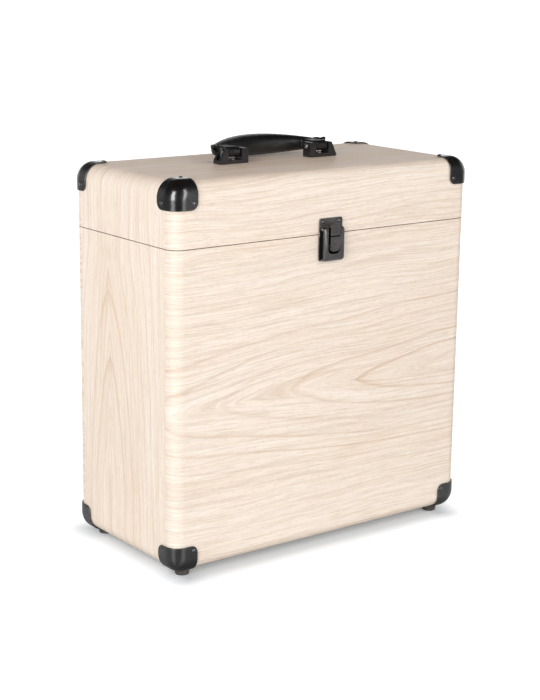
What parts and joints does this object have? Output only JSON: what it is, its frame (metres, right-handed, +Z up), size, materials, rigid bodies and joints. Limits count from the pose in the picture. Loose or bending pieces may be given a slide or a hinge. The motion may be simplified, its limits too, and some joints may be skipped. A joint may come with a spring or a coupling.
{
  "type": "record carrying case",
  "caption": "Board carrying case for 12 inch records, with a hinged lid, metal corner protectors, toggle latch, folding handle and rubber feet.",
  "frame": {"origin": "on the ground plane under the feet, below the middle of the case", "axes": "+Z up, -Y towards the front with the latch, +X to the right seen from the front"},
  "size_m": [0.3442, 0.1789, 0.3776],
  "materials": {
    "wood_film": "satin printed wood-grain film, pale ash or oak, over board",
    "velour": "short black velour on card",
    "black_metal": "satin black lacquered steel",
    "black_plastic": "satin black moulding",
    "bright_metal": "plated steel",
    "rubber": "matt black rubber",
    "grip_leather": "black leather-look covered moulding"
  },
  "bodies": {
    "body": {"body_frame": "wood_film", "body_front_panel": "wood_film", "body_back_panel": "wood_film", "body_lining": "velour", "body_lip": "velour", "corner_bottom_front_left": "black_metal", "foot_front_left": "rubber", "foot_screw_front_left": "bright_metal", "corner_bottom_front_right": "black_metal", "foot_front_right": "rubber", "foot_screw_front_right": "bright_metal", "corner_bottom_back_left": "black_metal", "foot_back_left": "rubber", "foot_screw_back_left": "bright_metal", "corner_bottom_back_right": "black_metal", "foot_back_right": "rubber", "foot_screw_back_right": "bright_metal", "latch_base": "black_metal", "latch_base_rivet_lower": "black_metal", "latch_base_rivet_upper": "black_metal", "latch_pivot_left": "bright_metal", "latch_pivot_right": "bright_metal", "hinge_left_body_leaf": "black_metal", "hinge_left_body_screw_inner": "black_metal", "hinge_left_body_screw_outer": "black_metal", "hinge_left_pin": "bright_metal", "hinge_right_body_leaf": "black_metal", "hinge_right_body_screw_inner": "black_metal", "hinge_right_body_screw_outer": "black_metal", "hinge_right_pin": "bright_metal"},
    "lid": {"lid_frame": "wood_film", "lid_front_panel": "wood_film", "lid_back_panel": "wood_film", "lid_lining": "velour", "corner_top_front_left": "black_metal", "corner_top_front_right": "black_metal", "corner_top_back_left": "black_metal", "corner_top_back_right": "black_metal", "latch_strike": "black_metal", "latch_strike_rivet_left": "black_metal", "latch_strike_rivet_right": "black_metal", "hinge_left_lid_leaf": "black_metal", "hinge_left_lid_screw_inner": "black_metal", "hinge_left_lid_screw_outer": "black_metal", "handle_bracket_left": "black_plastic", "handle_pin_left": "bright_metal", "handle_screw_left_inner": "bright_metal", "handle_screw_left_outer": "bright_metal", "hinge_right_lid_leaf": "black_metal", "hinge_right_lid_screw_inner": "black_metal", "hinge_right_lid_screw_outer": "black_metal", "handle_bracket_right": "black_plastic", "handle_pin_right": "bright_metal", "handle_screw_right_inner": "bright_metal", "handle_screw_right_outer": "bright_metal"},
    "latch_lever": {"latch_lever": "black_metal", "latch_hook_pin": "bright_metal"},
    "latch_hook": {"latch_hook": "black_metal"},
    "handle": {"handle": "grip_leather"}
  },
  "joints": [
    {"name": "lid_hinge", "type": "hinge", "parent": "body", "child": "lid", "pos_m": [0, 0.0855, 0.299], "axis": [-1, 0, 0], "range_deg": [0, 105]},
    {"name": "handle_swing", "type": "hinge", "parent": "lid", "child": "handle", "pos_m": [0, 0, 0.3677], "axis": [1, 0, 0], "range_deg": [0, 180]},
    {"name": "latch_lever_swing", "type": "hinge", "parent": "body", "child": "latch_lever", "pos_m": [0, -0.0858, 0.3036], "axis": [-1, 0, 0], "range_deg": [0, 105]},
    {"name": "latch_hook_turn", "type": "hinge", "parent": "latch_lever", "child": "latch_hook", "pos_m": [0, -0.0858, 0.2882], "axis": [-1, 0, 0], "range_deg": [-105, 0]}
  ],
  "couplings": [
    {"joint": "latch_hook_turn", "follows": "latch_lever_swing", "ratio": -1}
  ]
}
